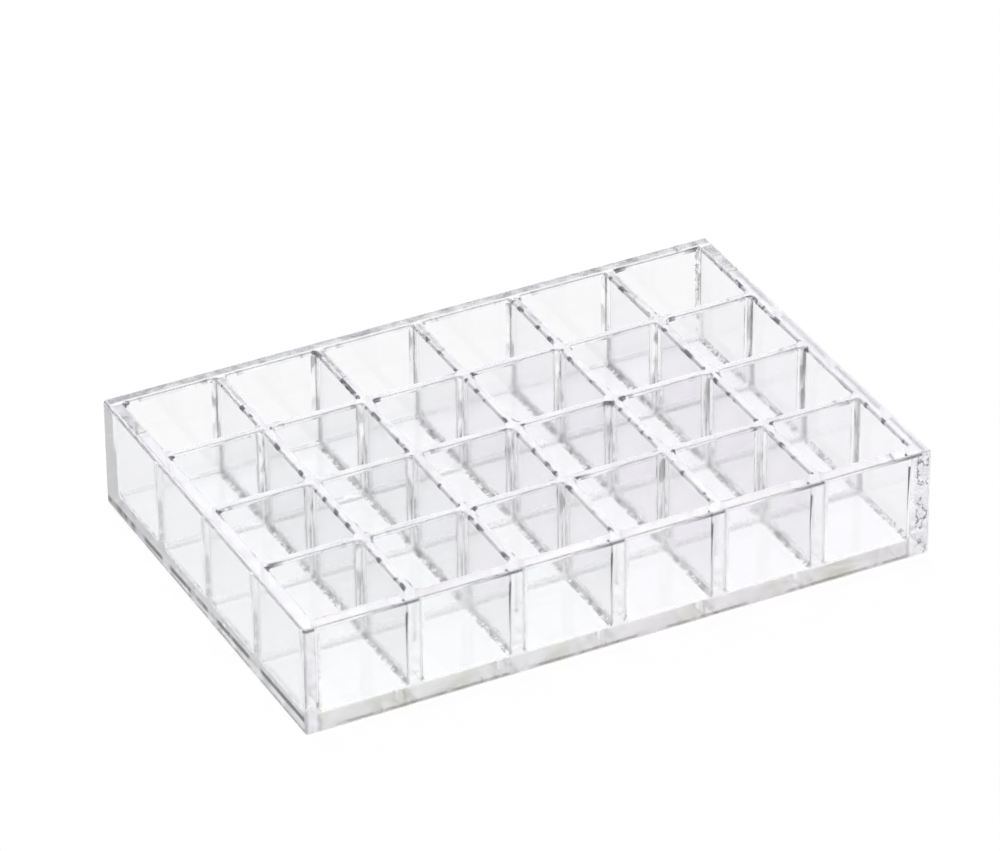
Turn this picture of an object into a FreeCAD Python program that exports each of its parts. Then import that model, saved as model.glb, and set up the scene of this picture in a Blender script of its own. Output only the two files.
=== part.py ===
import FreeCAD, Part
import os

# A clear vanity organizer: a low open tray of cemented sheet, divided into square cells.
# Millimetres. X runs along the length, Y from the front wall to the back wall, and Z is up.
# The origin is the middle of the tray's underside.

# Overall sizes
tray_length = 180.0
tray_depth = 122.0
tray_height = 32.0

# Sheets that the tray is cut from
wall_thickness = 4.5
divider_thickness = 3.0
base_thickness = 4.0

# Cells along the length and along the depth
column_count = 6
row_count = 4

# Polished edges
rim_radius = 0.8
divider_rim_radius = 0.9
corner_radius = 1.0
foot_radius = 0.9
largest_radius_share = 0.45

# Half-lap joints where the dividers cross
slot_clearance = 0.05
lap_clearance = 0.1
lap_height_share = 0.5
cut_overrun = 1.0

# Tolerance for picking the edges of a sheet
same_place_share = 0.00001

# Sizes that follow
inner_length = tray_length - 2 * wall_thickness
inner_depth = tray_depth - 2 * wall_thickness
divider_height = tray_height - base_thickness
cell_length = (inner_length - (column_count - 1) * divider_thickness) / column_count
cell_depth = (inner_depth - (row_count - 1) * divider_thickness) / row_count
lap_level = base_thickness + lap_height_share * divider_height
slot_width = divider_thickness + 2 * slot_clearance
slot_through = divider_thickness + 2 * cut_overrun


def sheet(length, depth, height, x=0, y=0, z=0):
    """A flat sheet, length along X and depth along Y, standing on the middle of its underside."""
    corner = FreeCAD.Vector(x - length / 2, y - depth / 2, z)
    return Part.makeBox(length, depth, height, corner)


def rounded(solid, radius, thickness, chosen):
    """The solid with its chosen edges rounded, by no more than the sheet can carry."""
    fitted = min(radius, largest_radius_share * thickness)
    return solid.makeFillet(fitted, [edge for edge in solid.Edges if chosen(edge)])


def lies_at(edge, x=None, y=None, z=None):
    """True for an edge that lies all along the given places."""
    box = edge.BoundBox
    spans = ((x, box.XMin, box.XMax), (y, box.YMin, box.YMax), (z, box.ZMin, box.ZMax))
    reach = same_place_share * tray_length
    return all(place is None or max(abs(low - place), abs(high - place)) < reach
               for place, low, high in spans)


def side_wall(side):
    """The left wall (side -1) or the right wall (side 1). It runs the full depth,
    and its two outer corners are the tray's own."""
    outer = side * tray_length / 2
    inner = outer - side * wall_thickness
    wall = sheet(wall_thickness, tray_depth, tray_height, x=(outer + inner) / 2)
    wall = rounded(wall, corner_radius, wall_thickness,
                   lambda edge: lies_at(edge, x=outer)
                   and not lies_at(edge, z=0) and not lies_at(edge, z=tray_height))
    wall = rounded(wall, rim_radius, wall_thickness, lambda edge: lies_at(edge, z=tray_height))
    return rounded(wall, foot_radius, wall_thickness,
                   lambda edge: lies_at(edge, z=0) and not lies_at(edge, x=inner))


def cross_wall(side):
    """The front wall (side -1) or the back wall (side 1), fitted between the side walls."""
    outer = side * tray_depth / 2
    inner = outer - side * wall_thickness
    wall = sheet(inner_length, wall_thickness, tray_height, y=(outer + inner) / 2)
    wall = rounded(wall, rim_radius, wall_thickness,
                   lambda edge: lies_at(edge, y=outer, z=tray_height)
                   or lies_at(edge, y=inner, z=tray_height))
    return rounded(wall, foot_radius, wall_thickness, lambda edge: lies_at(edge, y=outer, z=0))


def base_plate():
    """The floor of the cells, let in between the four walls and flush with their feet."""
    return sheet(inner_length, inner_depth, base_thickness)


def column_line(index):
    """X of the divider after the given column, counted from 1 at the left."""
    return -inner_length / 2 + index * cell_length + (index - 1 / 2) * divider_thickness


def row_line(index):
    """Y of the divider after the given row, counted from 1 at the front."""
    return -inner_depth / 2 + index * cell_depth + (index - 1 / 2) * divider_thickness


def divider_rim(edge, line, across):
    """True for the two long top edges of a divider whose middle is at the line."""
    faces = (line - divider_thickness / 2, line + divider_thickness / 2)
    return any(lies_at(edge, z=tray_height, **{across: face}) for face in faces)


def cross_divider(index):
    """A divider between two columns. Its rim runs on over the crossings,
    and its slots are open at the bottom."""
    line = column_line(index)
    divider = sheet(divider_thickness, inner_depth, divider_height, x=line, z=base_thickness)
    divider = rounded(divider, divider_rim_radius, divider_thickness,
                      lambda edge: divider_rim(edge, line, "x"))
    slot_top = lap_level + lap_clearance
    for row in range(1, row_count):
        divider = divider.cut(sheet(slot_through, slot_width, slot_top, x=line, y=row_line(row)))
    return divider


def long_divider(index):
    """A divider between two rows. Its slots are open at the top, where the cross dividers drop in."""
    line = row_line(index)
    divider = sheet(inner_length, divider_thickness, divider_height, y=line, z=base_thickness)
    divider = rounded(divider, divider_rim_radius, divider_thickness,
                      lambda edge: divider_rim(edge, line, "y"))
    for column in range(1, column_count):
        divider = divider.cut(sheet(slot_width, slot_through, tray_height,
                                    x=column_line(column), y=line, z=lap_level))
    return divider


def build():
    """Every piece of the tray, by name."""
    pieces = {
        "base_plate": base_plate(),
        "left_wall": side_wall(-1),
        "right_wall": side_wall(1),
        "front_wall": cross_wall(-1),
        "back_wall": cross_wall(1),
    }
    for index in range(1, column_count):
        pieces[f"cross_divider_{index}"] = cross_divider(index)
    for index in range(1, row_count):
        pieces[f"long_divider_{index}"] = long_divider(index)
    return pieces


os.makedirs("parts", exist_ok=True)
for name, piece in build().items():
    piece.exportStep(f"parts/{name}.step")
    print(name, "volume", round(piece.Volume, 3), "solids", len(piece.Solids), "valid", piece.isValid())
print("cell", round(cell_length, 3), "by", round(cell_depth, 3), "by", round(divider_height, 3))
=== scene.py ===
import math

import bpy
from mathutils import Matrix, Vector


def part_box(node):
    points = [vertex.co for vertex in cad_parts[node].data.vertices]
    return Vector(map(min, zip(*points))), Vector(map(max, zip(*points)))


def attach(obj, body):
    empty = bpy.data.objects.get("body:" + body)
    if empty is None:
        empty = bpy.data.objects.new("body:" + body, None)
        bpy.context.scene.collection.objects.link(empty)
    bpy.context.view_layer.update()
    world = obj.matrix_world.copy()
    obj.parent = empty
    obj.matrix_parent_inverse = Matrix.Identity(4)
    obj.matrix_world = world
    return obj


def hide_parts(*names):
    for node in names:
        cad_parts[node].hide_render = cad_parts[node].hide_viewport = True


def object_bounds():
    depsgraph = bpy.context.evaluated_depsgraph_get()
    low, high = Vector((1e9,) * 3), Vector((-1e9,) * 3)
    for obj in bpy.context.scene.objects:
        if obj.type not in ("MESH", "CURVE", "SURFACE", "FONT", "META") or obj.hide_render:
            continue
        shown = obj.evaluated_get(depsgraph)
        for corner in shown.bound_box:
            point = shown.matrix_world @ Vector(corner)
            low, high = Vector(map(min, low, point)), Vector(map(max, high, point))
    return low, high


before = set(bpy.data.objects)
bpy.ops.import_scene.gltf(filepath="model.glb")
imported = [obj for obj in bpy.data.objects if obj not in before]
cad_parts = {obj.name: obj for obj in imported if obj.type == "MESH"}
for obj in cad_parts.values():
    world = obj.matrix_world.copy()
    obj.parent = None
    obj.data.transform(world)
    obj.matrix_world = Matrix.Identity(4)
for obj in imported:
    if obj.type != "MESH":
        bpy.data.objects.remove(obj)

# Everything is in metres. X runs along the length, Y from the front wall to the back wall, Z is up.
mm = 0.001

# Boxes that the frame gives
cad_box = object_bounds()
tray_low, tray_high = (Vector(corner) for corner in cad_box)
base_low, base_high = (Vector(corner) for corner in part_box("base_plate"))
cross_names = sorted(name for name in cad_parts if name.startswith("cross_divider"))
long_names = sorted(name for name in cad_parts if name.startswith("long_divider"))


def middle(name, axis):
    """The middle of a node along one axis."""
    low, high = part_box(name)
    return (low[axis] + high[axis]) / 2


# Sizes that follow from the boxes
column_lines = [middle(name, 0) for name in cross_names]
row_lines = [middle(name, 1) for name in long_names]
column_pitch = column_lines[1] - column_lines[0]
row_pitch = row_lines[1] - row_lines[0]
divider_half = (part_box(long_names[0])[1][1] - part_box(long_names[0])[0][1]) / 2
floor_level = base_high.z
rim_level = tray_high.z
lap_level = (floor_level + rim_level) / 2

# Rounded edges
inside_radius = 1.2 * mm
rim_radius = 0.9 * mm
corner_radius = 1.0 * mm
foot_radius = 0.9 * mm
inside_segments = 8
edge_segments = 6

# Height of the thin dark line of painted shade above the foot, on the left wall at its front and
# back ends and on the front wall
left_line_front = 4.6 * mm
left_line_back = 2.3 * mm
front_line = 1.3 * mm

# How far the fillet that a divider or wall carries reaches past its face
fillet_reach = inside_radius - 0.1 * mm
fillet_half = divider_half + fillet_reach

# Cutting blocks run past the sheets.
overrun = 2 * mm
cut_under = tray_low.z - overrun
cut_over = rim_level + overrun

# How near two places count as the same, how near two points that a cut leaves are merged,
# and how alike two directions count as the same
near = 0.01 * mm
same_point = 0.0001 * mm
same_normal = 0.9

# Part of a normal along one axis from which its face counts as flat
flat = 0.9995
smooth_angle = math.radians(24)

# The camera stands at the tray's front left and looks down on it.
camera_azimuth = math.radians(-26.82)
camera_elevation = math.radians(32.36)
camera_roll = math.radians(-0.433)
camera_distance = 1.685
camera_aim_right = -0.00395
camera_aim_up = 0.02676
sensor_width = 0.036
focal_share = 6.417
clip_distance = 100

# How often light may bounce, so that it gets through all the clear sheets
clear_bounces = 48
glossy_bounces = 32
joint_bounces = 128

acrylic_ior = 1.49
noise_detail = 2.0

# Colour of clear acrylic, the gray of fine squiggles on it, and the grays and blacks of painted
# shade on it: marks, edge lines, streaks, wedges and the line above the foot
clear = (1, 1, 1)
shade_mark_black = (0.06, 0.06, 0.07)
squiggle_gray = (0.12, 0.12, 0.14)
edge_gray = (0.12, 0.12, 0.13)
corner_shade_gray = (0.24, 0.24, 0.24)
shade_wedge_gray = (0.45, 0.45, 0.47)
left_shade_line_black = (0.02, 0.02, 0.02)
front_shade_line_gray = (0.3, 0.3, 0.28)

# Studio
floor_size = 12.0
floor_gap = 0.1 * mm
floor_shade = 0.3
floor_glow_seen = 0.805
floor_glow_inside = 0.88
room_level = 0.35
# Each soft light: its direction, the cosines at which it starts and is full, and its strength
soft_lights = [
    ((0.0, 0.9, 0.42), 0.6, 0.85, 1.15),
    ((0.0, -0.9, 0.42), 0.6, 0.85, 0.35),
    ((0.0, 0.0, 1.0), 0.6, 0.95, 0.5),
]


def camera_axes():
    """The camera's right, up and backward directions."""
    level = Vector((math.cos(camera_azimuth), math.sin(camera_azimuth), 0))
    back = Vector((math.sin(camera_azimuth) * math.cos(camera_elevation),
                   -math.cos(camera_azimuth) * math.cos(camera_elevation),
                   math.sin(camera_elevation)))
    upright = back.cross(level)
    right = level * math.cos(camera_roll) + upright * math.sin(camera_roll)
    return right, back.cross(right), back


def add_camera():
    """The camera at the photograph's place, with its long lens."""
    right, up, back = camera_axes()
    data = bpy.data.cameras.new("camera")
    data.sensor_width = sensor_width / mm
    data.lens = focal_share * sensor_width / mm
    data.clip_end = clip_distance
    camera = bpy.data.objects.new("camera", data)
    place = right * camera_aim_right + up * camera_aim_up + back * camera_distance
    turned = Matrix((right, up, back)).transposed().to_4x4()
    camera.matrix_world = Matrix.Translation(place) @ turned
    bpy.context.scene.collection.objects.link(camera)
    bpy.context.scene.camera = camera


def new_material(name):
    """An empty node material, with its tree and its output."""
    material = bpy.data.materials.new(name)
    material.use_nodes = True
    tree = material.node_tree
    tree.nodes.clear()
    return material, tree, tree.nodes.new("ShaderNodeOutputMaterial")


def add_node(tree, kind, **values):
    """A node with some of its inputs set."""
    node = tree.nodes.new(kind)
    for name, value in values.items():
        node.inputs[name.replace("_", " ")].default_value = value
    return node


def noise(tree, size, stretch=(1, 1, 1)):
    """A soft random pattern in the object's own space, with spots of about the given size."""
    where = tree.nodes.new("ShaderNodeTexCoord")
    mapping = add_node(tree, "ShaderNodeMapping", Scale=stretch)
    pattern = add_node(tree, "ShaderNodeTexNoise", Scale=1 / size, Detail=noise_detail)
    tree.links.new(where.outputs["Object"], mapping.inputs["Vector"])
    tree.links.new(mapping.outputs["Vector"], pattern.inputs["Vector"])
    return pattern.outputs["Fac"]


def spread(tree, value, low, high, start=0.3, end=0.7):
    """A value stretched so that its start and end become two levels, and held there beyond."""
    ramp = tree.nodes.new("ShaderNodeMapRange")
    ramp.inputs["From Min"].default_value = start
    ramp.inputs["From Max"].default_value = end
    ramp.inputs["To Min"].default_value = low
    ramp.inputs["To Max"].default_value = high
    tree.links.new(value, ramp.inputs["Value"])
    return ramp.outputs["Result"]


def blend_colors(tree, value, first, second):
    """A colour between two others, which are colours or sockets, chosen by a value from 0 to 1."""
    mix = tree.nodes.new("ShaderNodeMix")
    mix.data_type = "RGBA"
    ends = [socket for socket in mix.inputs if socket.type == "RGBA"]
    for end, color in zip(ends, (first, second)):
        if isinstance(color, tuple):
            end.default_value = (*color, 1)
        else:
            tree.links.new(color, end)
    tree.links.new(value, mix.inputs["Factor"])
    return [socket for socket in mix.outputs if socket.type == "RGBA"][0]


def calculate(tree, operation, first, second):
    """One step of arithmetic on two sockets or numbers."""
    node = tree.nodes.new("ShaderNodeMath")
    node.operation = operation
    for end, value in zip(node.inputs, (first, second)):
        if isinstance(value, (int, float)):
            end.default_value = value
        else:
            tree.links.new(value, end)
    return node.outputs["Value"]


def place_in_tray(tree):
    """The three coordinates of a point of the tray."""
    where = tree.nodes.new("ShaderNodeTexCoord")
    parts = tree.nodes.new("ShaderNodeSeparateXYZ")
    tree.links.new(where.outputs["Object"], parts.inputs["Vector"])
    return parts.outputs["X"], parts.outputs["Y"], parts.outputs["Z"]


def below(tree, value, limit):
    """1 where a value is below a limit, and 0 elsewhere."""
    return calculate(tree, "LESS_THAN", value, limit)


def above(tree, value, limit):
    """1 where a value is above a limit, and 0 elsewhere."""
    return calculate(tree, "GREATER_THAN", value, limit)


def larger(tree, first, second):
    """The larger of two values."""
    return calculate(tree, "MAXIMUM", first, second)


def product(tree, first, *others):
    """Several factors multiplied."""
    for other in others:
        first = calculate(tree, "MULTIPLY", first, other)
    return first


def between(tree, value, low, high):
    """1 where a value is between two others, and 0 elsewhere."""
    return product(tree, above(tree, value, low), below(tree, value, high))


def off_line(tree, value, line):
    """How far a value is from a line, to either side."""
    return calculate(tree, "ABSOLUTE", calculate(tree, "SUBTRACT", value, line), 0)


def within(tree, part, reach):
    """1 where a coordinate is nearer to the middle than the reach, and 0 outside."""
    return below(tree, off_line(tree, part, 0), reach)


def beside_line(tree, part, lines, pitch):
    """How far past the nearest of evenly spaced lines a coordinate is."""
    start = lines[0] - pitch / 2
    wrapped = calculate(tree, "FLOORED_MODULO", calculate(tree, "SUBTRACT", part, start), pitch)
    return calculate(tree, "SUBTRACT", wrapped, pitch / 2)


def side_of_column(tree):
    """How far to the right of the nearest column line a point is."""
    x, _, _ = place_in_tray(tree)
    return beside_line(tree, x, column_lines, column_pitch)


def from_crossing(tree):
    """How far along its rim a point is from the nearest crossing."""
    x, y, _ = place_in_tray(tree)
    ways = []
    for part, lines, pitch in ((x, column_lines, column_pitch), (y, row_lines, row_pitch)):
        shifted = calculate(tree, "SUBTRACT", part, lines[0])
        ways.append(calculate(tree, "PINGPONG", shifted, pitch / 2))
    return larger(tree, *ways)


def acrylic(name, tint, hazes, haze_size, wave_size, wave_height):
    """Clear acrylic, with a tint that a function makes, a haze that wanders between two values
    over spots of one size, and a slightly wavy surface."""
    material, tree, output = new_material(name)
    glass = tree.nodes.new("ShaderNodeBsdfPrincipled")
    glass.inputs["IOR"].default_value = acrylic_ior
    glass.inputs["Transmission Weight"].default_value = 1.0
    tree.links.new(tint(tree), glass.inputs["Base Color"])
    tree.links.new(spread(tree, noise(tree, haze_size), *hazes), glass.inputs["Roughness"])
    bump = add_node(tree, "ShaderNodeBump", Strength=1.0, Distance=wave_height)
    tree.links.new(noise(tree, wave_size), bump.inputs["Height"])
    tree.links.new(bump.outputs["Normal"], glass.inputs["Normal"])
    tree.links.new(glass.outputs["BSDF"], output.inputs["Surface"])
    return material


def clouds(first, second, size, start=0.3, end=0.7, stretch=(1, 1, 1)):
    """A tint that wanders between two colours over spots of one size."""
    def tint(tree):
        pattern = noise(tree, size, stretch=stretch)
        return blend_colors(tree, spread(tree, pattern, 0, 1, start, end), first, second)
    return tint


def cool_tint(left, right, size):
    """A tint that goes from one colour at the tray's left to another at its right, unevenly."""
    def tint(tree):
        x, _, _ = place_in_tray(tree)
        steady = spread(tree, x, -0.2, 1.2, base_low.x, base_high.x)
        wandering = spread(tree, noise(tree, size), -0.3, 0.6)
        share = larger(tree, calculate(tree, "ADD", steady, wandering), 0)
        return blend_colors(tree, calculate(tree, "MINIMUM", share, 1), left, right)
    return tint


def toned(tint, place, color):
    """A tint with another colour at a place, which a function tells as 1 or 0."""
    def with_place(tree):
        return blend_colors(tree, place(tree), tint(tree), color)
    return with_place


def on_back_wall(tree):
    """1 on the back wall, and 0 elsewhere."""
    _, y, _ = place_in_tray(tree)
    return above(tree, y, base_high.y - near)


def in_back_row(tree):
    """1 on the dividers inside the back row of cells, and 0 elsewhere."""
    x, y, _ = place_in_tray(tree)
    return product(tree, within(tree, x, base_high.x - near), above(tree, y, row_lines[-1]))


def at_front_wall(tree):
    """1 on the joints with the front wall, and 0 elsewhere."""
    _, y, _ = place_in_tray(tree)
    return below(tree, y, base_low.y + 2 * near)


def foot_shade_lined(tint):
    """A tint with a thin dark line of painted shade above the tray's foot. On the left wall it is
    black, climbs towards the front corner and has a clear strip below it, and on the front wall it
    is faint."""
    def with_line(tree):
        x, y, z = place_in_tray(tree)
        dashes = noise(tree, 9 * mm, stretch=(1, 1, 0.1))
        left = below(tree, x, tray_low.x + corner_radius)
        left_line = spread(tree, y, left_line_front, left_line_back, base_low.y, base_high.y)
        on_left_line = spread(tree, off_line(tree, z, left_line), 1, 0, 0.6 * mm, 1.0 * mm)
        near_corner = spread(tree, y, 1, 0, base_low.y + 18 * mm, base_low.y + 24 * mm)
        left_dashes = larger(tree, spread(tree, dashes, 0.3, 1, 0.4, 0.5), near_corner)
        on_front_line = spread(tree, off_line(tree, z, front_line), 1, 0, 0.3 * mm, 0.5 * mm)
        front_dashes = spread(tree, dashes, 0, 1, 0.42, 0.5)
        clear_strip = product(tree, left, below(tree, z, left_line))
        left_dark = product(tree, on_left_line, left_dashes, left)
        front_dark = product(tree, on_front_line, front_dashes)
        color = blend_colors(tree, clear_strip, tint(tree), clear)
        color = blend_colors(tree, front_dark, color, front_shade_line_gray)
        return blend_colors(tree, left_dark, color, left_shade_line_black)
    return with_line


def mottled_shade_gray(tree):
    """The mottled gray of painted shade on the rims at the back of the tray."""
    return clouds((0.15, 0.15, 0.17), (0.6, 0.6, 0.63), 4 * mm, start=0.35, end=0.65)(tree)


def rim_top_tint(tree):
    """Pale lavender painted shade, with mottled gray painted shade along the outer part of the back
    wall and on the ends of the rims that run up to it. The back wall's inner part is clear."""
    _, y, _ = place_in_tray(tree)
    lavender = clouds((0.7, 0.68, 0.74), (0.93, 0.91, 0.97), 9 * mm)(tree)
    inside = below(tree, y, base_high.y)
    nearing_back = spread(tree, y, 0, 0.8, base_high.y - 20 * mm, base_high.y - 12 * mm)
    outer_part = spread(tree, y, 0, 1, base_high.y + 1.0 * mm, base_high.y + 1.6 * mm)
    grayed = larger(tree, product(tree, inside, nearing_back), outer_part)
    return blend_colors(tree, grayed, blend_colors(tree, inside, clear, lavender),
                        mottled_shade_gray(tree))


def front_edge_shade(tree):
    """A line low on the front wall's outer rim edge, which darkens towards each cross divider."""
    _, y, z = place_in_tray(tree)
    side = side_of_column(tree)
    nearing_divider = product(tree, below(tree, side, 0),
                              spread(tree, side, 0, 1, -14.5 * mm, -5 * mm))
    return product(tree, nearing_divider, below(tree, y, tray_low.y + rim_radius),
                   below(tree, z, rim_level - 0.25 * mm))


def left_wall_shade_dots(tree):
    """Dots of painted shade on the left wall's inner rim edge, in front of each long divider."""
    x, y, _ = place_in_tray(tree)
    past_row = beside_line(tree, y, row_lines, row_pitch)
    return product(tree, between(tree, past_row, -3.8 * mm, -1.3 * mm),
                   between(tree, x, base_low.x - rim_radius, base_low.x + fillet_reach),
                   above(tree, y, base_low.y + rim_radius))


def rim_shade_marks(tree):
    """Short marks of painted shade on the inner rim edges, beside the crossings and along the cross
    dividers' left edges."""
    x, y, _ = place_in_tray(tree)
    side = side_of_column(tree)
    close = spread(tree, from_crossing(tree), 1, 0, 3 * mm, 8 * mm)
    left_edges = product(tree, below(tree, side, 0),
                         spread(tree, side, 0, 1, -2.2 * mm, -1.8 * mm))
    marks = spread(tree, noise(tree, 3.5 * mm), 0, 1, 0.54, 0.59)
    return product(tree, larger(tree, close, left_edges), marks,
                   within(tree, x, tray_high.x - 2 * mm), within(tree, y, tray_high.y - 2 * mm))


def rim_edge_tint(tree):
    """Painted shade on the rims' rounded edges: pale, mottled gray at the back, with the dark
    marks.
    """
    _, y, _ = place_in_tray(tree)
    pale = clouds((0.7, 0.7, 0.73), clear, 6 * mm)(tree)
    color = blend_colors(tree, front_edge_shade(tree), pale, edge_gray)
    back = above(tree, y, tray_high.y - rim_radius)
    color = blend_colors(tree, back, color, mottled_shade_gray(tree))
    return blend_colors(tree, larger(tree, rim_shade_marks(tree), left_wall_shade_dots(tree)), color,
                        shade_mark_black)


def corner_streak_shade(tree):
    """Painted shade in a cell's right-hand corners: pale gray clouds, and dark streaks in the upper
    part, which fade out below.
    """
    _, _, z = place_in_tray(tree)
    pale = clouds((0.7, 0.7, 0.72), clear, 3 * mm, stretch=(1, 1, 0.3))(tree)
    high = spread(tree, z, 0, 1, 0.3 * rim_level, 0.8 * rim_level)
    streaks = spread(tree, noise(tree, 3 * mm, stretch=(1, 1, 0.4)), 0, 1, 0.48, 0.58)
    return blend_colors(tree, product(tree, high, streaks), pale, corner_shade_gray)


def squiggled_tint(tree):
    """Pale, with fine dark squiggles, most of all towards the right."""
    x, _, _ = place_in_tray(tree)
    pale = clouds((0.85, 0.85, 0.87), clear, 4 * mm)(tree)
    lines = spread(tree, off_line(tree, noise(tree, 2.5 * mm), 0.5), 1, 0, 0.015, 0.05)
    patches = spread(tree, noise(tree, 5 * mm), 0, 1, 0.35, 0.45)
    share = spread(tree, x, 0.3, 1, base_low.x, base_high.x)
    return blend_colors(tree, product(tree, lines, patches, share), pale, squiggle_gray)


def joint_tint(tree):
    """Clear, with a dark wedge of painted shade high on the left of each divider's front end."""
    _, _, z = place_in_tray(tree)
    width = spread(tree, z, 0, 0.8 * mm, 0.4 * rim_level, 0.9 * rim_level)
    from_left = calculate(tree, "ADD", side_of_column(tree), fillet_half)
    wedge = product(tree, at_front_wall(tree), below(tree, from_left, width),
                    below(tree, z, rim_level - 5 * mm))
    return blend_colors(tree, wedge, clear, shade_wedge_gray)


def base_joint_tint(tree):
    """Along the front, gray painted shade with olive spots, and almost clear on the other sides."""
    gray = clouds((0.76, 0.76, 0.7), (0.9, 0.89, 0.89), 14 * mm, end=0.5)(tree)
    return blend_colors(tree, at_front_wall(tree), (0.97, 0.97, 0.98), gray)


def cement(name, tint):
    """The cemented faces between two pieces, which light passes straight through."""
    material, tree, output = new_material(name)
    joint = tree.nodes.new("ShaderNodeBsdfTransparent")
    tree.links.new(tint(tree), joint.inputs["Color"])
    tree.links.new(joint.outputs["BSDF"], output.inputs["Surface"])
    return material


def polished_sheet():
    """The sheets' faces that look to the front or back, with the back wall grayed by painted shade.
    """
    tint = cool_tint((0.955, 0.961, 0.964), (0.959, 0.955, 0.969), 30 * mm)
    return acrylic("polished_acrylic", foot_shade_lined(toned(tint, on_back_wall, (0.88, 0.88, 0.888))),
                   hazes=(0.04, 0.1), haze_size=40 * mm, wave_size=12 * mm, wave_height=0.02 * mm)


def shaded_across():
    """The sheets' faces that look to the left or right, grayed by painted shade, less so in the
    back row.
    """
    tint = cool_tint((0.854, 0.86, 0.864), (0.864, 0.857, 0.87), 30 * mm)
    return acrylic("shaded_across", foot_shade_lined(toned(tint, in_back_row, (0.93, 0.93, 0.94))),
                   hazes=(0.04, 0.1), haze_size=40 * mm, wave_size=12 * mm, wave_height=0.02 * mm)


def rim_finishes():
    """The flat tops of the rims and their rounded edges."""
    return [
        acrylic("rim_top", rim_top_tint,
                hazes=(0.02, 0.08), haze_size=9 * mm, wave_size=5 * mm, wave_height=0.05 * mm),
        acrylic("rim_edge", rim_edge_tint,
                hazes=(0.02, 0.08), haze_size=5 * mm, wave_size=3 * mm, wave_height=0.05 * mm),
    ]


def fillet_finishes():
    """The rounded edges inside the cells: along the floor in both directions, and upright in the
    left-hand and right-hand corners. All but the floor's fillets that run along the length carry
    painted shade."""
    return [
        # Dark clouds of painted shade on the floor fillets that run across.
        acrylic("fillet_across", clouds((0.3, 0.3, 0.3), clear, 2.5 * mm, start=0.38, end=0.5),
                hazes=(0.02, 0.08), haze_size=3 * mm, wave_size=2 * mm, wave_height=2 * mm),
        acrylic("fillet_along", clouds(clear, (0.98, 1, 1), 3 * mm),
                hazes=(0.15, 0.35), haze_size=3 * mm, wave_size=3 * mm, wave_height=0.02 * mm),
        # Gray clouds of painted shade in the left-hand corners.
        acrylic("fillet_left", clouds((0.75, 0.75, 0.77), clear, 3 * mm, stretch=(1, 1, 0.3)),
                hazes=(0.1, 0.25), haze_size=3 * mm, wave_size=3 * mm, wave_height=0.02 * mm),
        acrylic("fillet_right", corner_streak_shade,
                hazes=(0.1, 0.25), haze_size=3 * mm, wave_size=3 * mm, wave_height=0.02 * mm),
    ]


def outer_finishes():
    """The underside, the upright outer corners, the rounded foot and the side walls' ends."""
    return [
        acrylic("underside", clouds((0.912, 0.912, 0.923), (0.922, 0.925, 0.934), 20 * mm),
                hazes=(0.06, 0.16), haze_size=10 * mm, wave_size=4 * mm, wave_height=0.06 * mm),
        # Gray clouds of painted shade on the upright outer corners.
        acrylic("outer_corner", clouds((0.7, 0.7, 0.72), clear, 4 * mm),
                hazes=(0.05, 0.12), haze_size=4 * mm, wave_size=4 * mm, wave_height=0.05 * mm),
        acrylic("foot", foot_shade_lined(clouds((0.94, 0.94, 0.95), clear, 6 * mm)),
                hazes=(0.05, 0.1), haze_size=6 * mm, wave_size=4 * mm, wave_height=0.05 * mm),
        acrylic("wall_end", squiggled_tint,
                hazes=(0.04, 0.1), haze_size=6 * mm, wave_size=4 * mm, wave_height=0.05 * mm),
    ]


def make_finishes():
    """Every finish of the tray, by name."""
    made = [polished_sheet(), shaded_across(),
            cement("cement_joint", joint_tint), cement("base_joint", base_joint_tint),
            *rim_finishes(), *fillet_finishes(), *outer_finishes()]
    return {material.name: material for material in made}


def deselect():
    """Leaves nothing selected."""
    bpy.ops.object.select_all(action="DESELECT")


def activate(piece):
    """Makes the piece the only selected object, and the active one."""
    deselect()
    piece.select_set(True)
    bpy.context.view_layer.objects.active = piece


def block(name, low, high):
    """A block between two corners, with its place in its mesh."""
    deselect()
    low, high = Vector(low), Vector(high)
    bpy.ops.mesh.primitive_cube_add(size=1, location=(low + high) / 2, scale=high - low)
    piece = bpy.context.object
    piece.name = name
    piece.data.name = name
    bpy.ops.object.transform_apply(location=True, rotation=True, scale=True)
    return piece


def pick_edges(piece, chosen):
    """Selects the edges whose two ends the test accepts, and opens the piece for editing."""
    activate(piece)
    bpy.ops.object.mode_set(mode="EDIT")
    bpy.ops.mesh.select_mode(type="EDGE")
    bpy.ops.mesh.select_all(action="DESELECT")
    bpy.ops.object.mode_set(mode="OBJECT")
    points = piece.data.vertices
    for edge in piece.data.edges:
        edge.select = chosen(*(points[index].co for index in edge.vertices))
    bpy.ops.object.mode_set(mode="EDIT")


def round_edges(piece, radius, segments, chosen):
    """Rounds the chosen edges."""
    pick_edges(piece, chosen)
    bpy.ops.mesh.bevel(offset=radius, segments=segments, affect="EDGES")
    bpy.ops.object.mode_set(mode="OBJECT")


def at(a, b, axis, place):
    """True where both ends of an edge lie at the place along the axis."""
    return abs(a[axis] - place) < near and abs(b[axis] - place) < near


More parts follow.
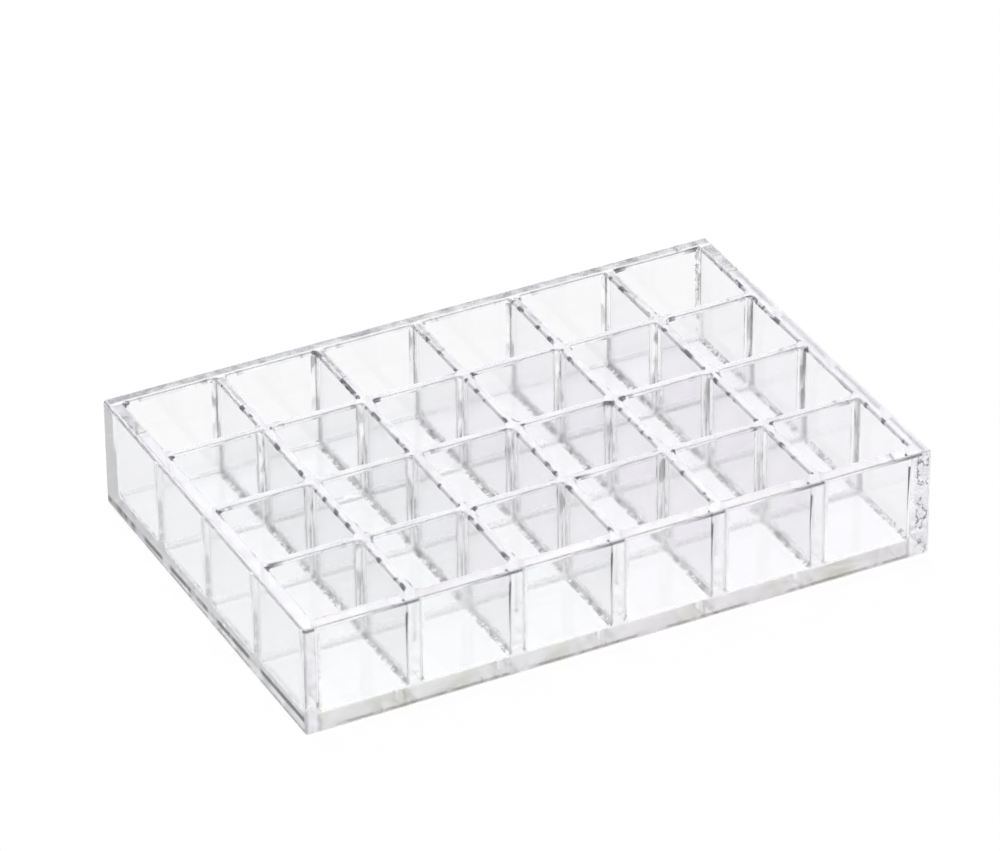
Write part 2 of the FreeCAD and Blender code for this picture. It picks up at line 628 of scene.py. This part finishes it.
def cell_pocket():
    """The open space of the front left cell, as a block to cut with: rounded in its corners
    and along its floor, and widening at the top by the rounding of the rims."""
    half = column_pitch / 2 - divider_half, row_pitch / 2 - divider_half
    x, y = column_lines[0] - column_pitch / 2, row_lines[0] - row_pitch / 2
    flare_level = rim_level - rim_radius
    pocket = block("pocket", (x - half[0], y - half[1], floor_level),
                   (x + half[0], y + half[1], flare_level))
    round_edges(pocket, inside_radius, inside_segments,
                lambda a, b: not at(a, b, 2, flare_level))
    activate(pocket)
    bpy.ops.object.mode_set(mode="EDIT")
    bpy.ops.mesh.select_mode(type="FACE")
    bpy.ops.mesh.select_all(action="DESELECT")
    bpy.ops.object.mode_set(mode="OBJECT")
    for face in pocket.data.polygons:
        face.select = abs(face.center.z - flare_level) < near and face.normal.z > same_normal
    bpy.ops.object.mode_set(mode="EDIT")
    level, widening = flare_level, 0.0
    for step in range(1, edge_segments + 1):
        angle = math.radians(90) * step / edge_segments
        next_level = flare_level + rim_radius * math.sin(angle)
        next_widening = rim_radius * (1 - math.cos(angle))
        bpy.ops.mesh.extrude_region_move(
            TRANSFORM_OT_translate={"value": (0, 0, next_level - level)})
        stretch = [(side + next_widening) / (side + widening) for side in half]
        bpy.ops.transform.resize(value=(*stretch, 1), center_override=(x, y, next_level))
        level, widening = next_level, next_widening
    bpy.ops.mesh.extrude_region_move(TRANSFORM_OT_translate={"value": (0, 0, overrun)})
    bpy.ops.object.mode_set(mode="OBJECT")
    return pocket


def copy_of(piece, shift):
    """A copy with its own mesh, moved."""
    twin = piece.copy()
    twin.data = piece.data.copy()
    twin.data.transform(Matrix.Translation(shift))
    bpy.context.scene.collection.objects.link(twin)
    return twin


def joined(pieces, name):
    """The pieces as one object."""
    deselect()
    for piece in pieces:
        piece.select_set(True)
    bpy.context.view_layer.objects.active = pieces[0]
    if len(pieces) > 1:
        bpy.ops.object.join()
    pieces[0].name = name
    return pieces[0]


def all_pockets():
    """Every cell's open space as one cutting object."""
    first = cell_pocket()
    pockets = [first]
    for row in range(len(row_lines) + 1):
        for column in range(len(column_lines) + 1):
            if row or column:
                pockets.append(copy_of(first, Vector((column * column_pitch, row * row_pitch, 0))))
    return joined(pockets, "pockets")


def cut(piece, cutter):
    """Takes the cutter's space out of the piece. The cut faces keep the cutter's material slot."""
    activate(piece)
    cutting = piece.modifiers.new("cut", "BOOLEAN")
    cutting.object = cutter
    cutting.operation = "DIFFERENCE"
    cutting.solver = "MANIFOLD"
    cutting.material_mode = "INDEX"
    bpy.ops.object.modifier_apply(modifier=cutting.name)


def cut_blocks(piece, boxes):
    """Takes blocks that stand apart from each other out of the piece, leaving joint faces."""
    parts = [block("joint_block", low, high) for low, high in boxes]
    cutter = joined(parts, "joint_blocks")
    mark_joints(cutter, lambda centre, normal: True)
    cut(piece, cutter)
    bpy.data.objects.remove(cutter)


def slot_number(name):
    """The number of a finish among a piece's material slots."""
    return list(finishes).index(name)


def mark_joints(piece, is_joint):
    """Gives the piece its material slots, and the joint's to the faces that touch others."""
    piece.data.materials.clear()
    for material in finishes.values():
        piece.data.materials.append(material)
    for face in piece.data.polygons:
        joint = is_joint(face.center, face.normal)
        face.material_index = slot_number("cement_joint" if joint else "polished_acrylic")


def finish_of(face):
    """Which finish a face that meets the air has, by its normal and place."""
    x, y, z = (abs(part) for part in face.normal)
    height = face.center.z
    if height < near:
        inner = abs(face.center.x) < base_high.x and abs(face.center.y) < base_high.y
        return "underside" if inner else "foot"
    if height < foot_radius and max(x, y) < flat:
        return "foot"
    if z > flat and height > rim_level - near:
        return "rim_top"
    if x > flat:
        return "shaded_across"
    if y > flat and abs(face.center.x) > base_high.x:
        return "wall_end"
    if max(y, z) > flat:
        return "polished_acrylic"
    if height > rim_level - rim_radius:
        return "rim_edge"
    if abs(face.center.x) > base_high.x:
        return "outer_corner"
    if z < 1 - flat:
        return "fillet_left" if face.normal.x > 0 else "fillet_right"
    return "fillet_along" if x < 1 - flat else "fillet_across"


def dress_faces(piece):
    """Gives each face its finish."""
    joint, base_joint = slot_number("cement_joint"), slot_number("base_joint")
    for face in piece.data.polygons:
        if face.material_index != joint:
            face.material_index = slot_number(finish_of(face))
        elif face.center.z < floor_level - near and abs(face.normal.z) < same_normal:
            face.material_index = base_joint


def merge_points(piece):
    """Merges the points that the cuts leave on top of each other."""
    activate(piece)
    bpy.ops.object.mode_set(mode="EDIT")
    bpy.ops.mesh.select_all(action="SELECT")
    bpy.ops.mesh.remove_doubles(threshold=same_point)
    bpy.ops.object.mode_set(mode="OBJECT")


def finish_piece(piece, node):
    """Cuts the cells out of the piece, smooths it and puts it in its node's place."""
    cut(piece, pockets)
    merge_points(piece)
    dress_faces(piece)
    bpy.ops.object.shade_smooth_by_angle(angle=smooth_angle)
    weighted = piece.modifiers.new("even_shading", "WEIGHTED_NORMAL")
    weighted.keep_sharp = True
    bpy.ops.object.modifier_apply(modifier=weighted.name)
    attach(piece, "root")
    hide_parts(node)


def base_plate():
    """The floor of the cells. Its top is open inside every cell and cemented under the dividers."""
    piece = block("base_plate_sheet", base_low, base_high)
    activate(piece)
    bpy.ops.object.mode_set(mode="EDIT")
    open_end = base_high - Vector((fillet_reach, fillet_reach, 0))
    for normal, lines, end in (((1, 0, 0), column_lines, open_end.x),
                               ((0, 1, 0), row_lines, open_end.y)):
        places = [line + side * fillet_half for line in lines for side in (-1, 1)]
        places += [side * end for side in (-1, 1)]
        for place in places:
            bpy.ops.mesh.select_all(action="SELECT")
            bpy.ops.mesh.bisect(plane_co=[place * part for part in normal], plane_no=normal)
    bpy.ops.object.mode_set(mode="OBJECT")

    def in_cell(centre):
        along = all(abs(centre.x - line) > fillet_half for line in column_lines)
        across = all(abs(centre.y - line) > fillet_half for line in row_lines)
        return along and across and abs(centre.x) < open_end.x and abs(centre.y) < open_end.y

    mark_joints(piece, lambda centre, normal: abs(normal.z) < same_normal
                or normal.z > 0 and not in_cell(centre))
    dress_faces(piece)
    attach(piece, "root")
    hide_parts("base_plate")


def side_wall(side, node):
    """The left wall (side -1) or the right wall (side 1), with two of the tray's outer corners."""
    outer, inner = side * tray_high.x, side * base_high.x
    reach = inner - side * fillet_reach
    low, high = min(outer, reach), max(outer, reach)
    piece = block(node + "_sheet", (low, tray_low.y, tray_low.z), (high, tray_high.y, rim_level))

    def upright(a, b):
        return at(a, b, 0, outer) and abs(a.z - b.z) > near

    def around(a, b, level):
        return at(a, b, 2, level) and not at(a, b, 0, reach)

    round_edges(piece, corner_radius, edge_segments, upright)
    round_edges(piece, rim_radius, edge_segments, lambda a, b: around(a, b, rim_level))
    round_edges(piece, foot_radius, edge_segments, lambda a, b: around(a, b, tray_low.z))
    mark_joints(piece, lambda centre, normal: abs(centre.x - reach) < near)
    past = reach - side * overrun
    low, high = min(past, inner), max(past, inner)
    cut_blocks(piece, [((low, tray_low.y - overrun, cut_under),
                        (high, tray_high.y + overrun, floor_level))])
    for y, end in ((base_low.y, tray_low.y), (base_high.y, tray_high.y)):
        far = end + math.copysign(overrun, end)
        cut_blocks(piece, [((low, min(y, far), cut_under), (high, max(y, far), cut_over))])
    cut_blocks(piece, [((low, line - fillet_half, cut_under),
                        (high, line + fillet_half, cut_over)) for line in row_lines])
    finish_piece(piece, node)


def cross_wall(side, node):
    """The front wall (side -1) or the back wall (side 1), fitted between the side walls."""
    outer, inner = side * tray_high.y, side * base_high.y
    reach = inner - side * fillet_reach
    low, high = min(outer, reach), max(outer, reach)
    piece = block(node + "_sheet", (base_low.x, low, tray_low.z), (base_high.x, high, rim_level))

    def along(a, b, level):
        return at(a, b, 2, level) and at(a, b, 1, outer)

    round_edges(piece, rim_radius, edge_segments, lambda a, b: along(a, b, rim_level))
    round_edges(piece, foot_radius, edge_segments, lambda a, b: along(a, b, tray_low.z))
    mark_joints(piece, lambda centre, normal: abs(centre.y - reach) < near
                or abs(normal.x) > same_normal)
    past = reach - side * overrun
    low, high = min(past, inner), max(past, inner)
    cut_blocks(piece, [((base_low.x - overrun, low, cut_under),
                        (base_high.x + overrun, high, floor_level))])
    cut_blocks(piece, [((base_low.x - overrun, low, cut_under),
                        (base_low.x + fillet_reach, high, cut_over)),
                       ((base_high.x - fillet_reach, low, cut_under),
                        (base_high.x + overrun, high, cut_over))])
    cut_blocks(piece, [((line - fillet_half, low, cut_under),
                        (line + fillet_half, high, cut_over)) for line in column_lines])
    finish_piece(piece, node)


def cross_divider(line, node):
    """A divider between two columns, with the crossings above the lap level on it."""
    piece = block(node + "_sheet", (line - fillet_half, base_low.y, floor_level),
                  (line + fillet_half, base_high.y, rim_level))
    mark_joints(piece, lambda centre, normal: normal.z < same_normal)
    cut_blocks(piece, [((line - fillet_half - overrun, row - fillet_half, floor_level - overrun),
                        (line + fillet_half + overrun, row + fillet_half, lap_level))
                       for row in row_lines])
    finish_piece(piece, node)


def long_divider(line, node):
    """A divider between two rows, with the crossings below the lap level on it."""
    piece = block(node + "_sheet", (base_low.x, line - fillet_half, floor_level),
                  (base_high.x, line + fillet_half, rim_level))
    mark_joints(piece, lambda centre, normal: normal.z < same_normal)
    cut_blocks(piece, [((column - fillet_half, line - fillet_half - overrun, lap_level),
                        (column + fillet_half, line + fillet_half + overrun, cut_over))
                       for column in column_lines])
    finish_piece(piece, node)


def white_floor():
    """The pale floor: white to the eye, and still holding the tray's shadow."""
    material, tree, output = new_material("floor_white")
    diffuse = tree.nodes.new("ShaderNodeBsdfDiffuse")
    diffuse.inputs["Color"].default_value = (floor_shade, floor_shade, floor_shade, 1)
    glow = tree.nodes.new("ShaderNodeEmission")
    path = tree.nodes.new("ShaderNodeLightPath")
    level = tree.nodes.new("ShaderNodeMix")
    level.inputs["A"].default_value = floor_glow_inside
    level.inputs["B"].default_value = floor_glow_seen
    tree.links.new(path.outputs["Is Camera Ray"], level.inputs["Factor"])
    tree.links.new(level.outputs["Result"], glow.inputs["Strength"])
    both = tree.nodes.new("ShaderNodeAddShader")
    tree.links.new(diffuse.outputs["BSDF"], both.inputs[0])
    tree.links.new(glow.outputs["Emission"], both.inputs[1])
    tree.links.new(both.outputs["Shader"], output.inputs["Surface"])
    return material


def add_floor():
    """The floor, a hair below the tray's foot."""
    deselect()
    bpy.ops.mesh.primitive_plane_add(size=floor_size, location=(0, 0, -floor_gap))
    floor = bpy.context.object
    floor.name = "floor"
    floor.data.materials.append(white_floor())


def soft_light(tree, where, direction, start, full, strength):
    """The brightness that one soft light gives each direction of the studio."""
    cosine = tree.nodes.new("ShaderNodeVectorMath")
    cosine.operation = "DOT_PRODUCT"
    cosine.inputs[1].default_value = Vector(direction).normalized()
    ramp = tree.nodes.new("ShaderNodeMapRange")
    ramp.inputs["From Min"].default_value = start
    ramp.inputs["From Max"].default_value = full
    ramp.inputs["To Max"].default_value = strength
    ramp.interpolation_type = "SMOOTHSTEP"
    tree.links.new(where, cosine.inputs[0])
    tree.links.new(cosine.outputs["Value"], ramp.inputs["Value"])
    return ramp.outputs["Result"]


def add_world():
    """The studio round the tray: soft lights that fade out, and white where the camera sees
    past it."""
    world = bpy.data.worlds.new("studio")
    bpy.context.scene.world = world
    world.use_nodes = True
    tree = world.node_tree
    tree.nodes.clear()
    output = tree.nodes.new("ShaderNodeOutputWorld")
    background = tree.nodes.new("ShaderNodeBackground")
    where = tree.nodes.new("ShaderNodeTexCoord").outputs["Generated"]
    total = room_level
    for light in soft_lights:
        total = calculate(tree, "ADD", soft_light(tree, where, *light), total)
    path = tree.nodes.new("ShaderNodeLightPath")
    level = tree.nodes.new("ShaderNodeMix")
    level.inputs["B"].default_value = 1.0
    tree.links.new(path.outputs["Is Camera Ray"], level.inputs["Factor"])
    tree.links.new(total, level.inputs["A"])
    tree.links.new(level.outputs["Result"], background.inputs["Strength"])
    tree.links.new(background.outputs["Background"], output.inputs["Surface"])


def set_up_render():
    """Plain colours, and enough bounces for the clear sheets."""
    scene = bpy.context.scene
    scene.view_settings.view_transform = "Standard"
    scene.cycles.max_bounces = clear_bounces
    scene.cycles.transmission_bounces = clear_bounces
    scene.cycles.glossy_bounces = glossy_bounces
    scene.cycles.transparent_max_bounces = joint_bounces
    scene.cycles.blur_glossy = 0.0


set_up_render()
add_camera()
finishes = make_finishes()
pockets = all_pockets()
base_plate()
side_wall(-1, "left_wall")
side_wall(1, "right_wall")
cross_wall(-1, "front_wall")
cross_wall(1, "back_wall")
for line, node in zip(column_lines, cross_names):
    cross_divider(line, node)
for line, node in zip(row_lines, long_names):
    long_divider(line, node)
bpy.data.objects.remove(pockets)
add_floor()
add_world()
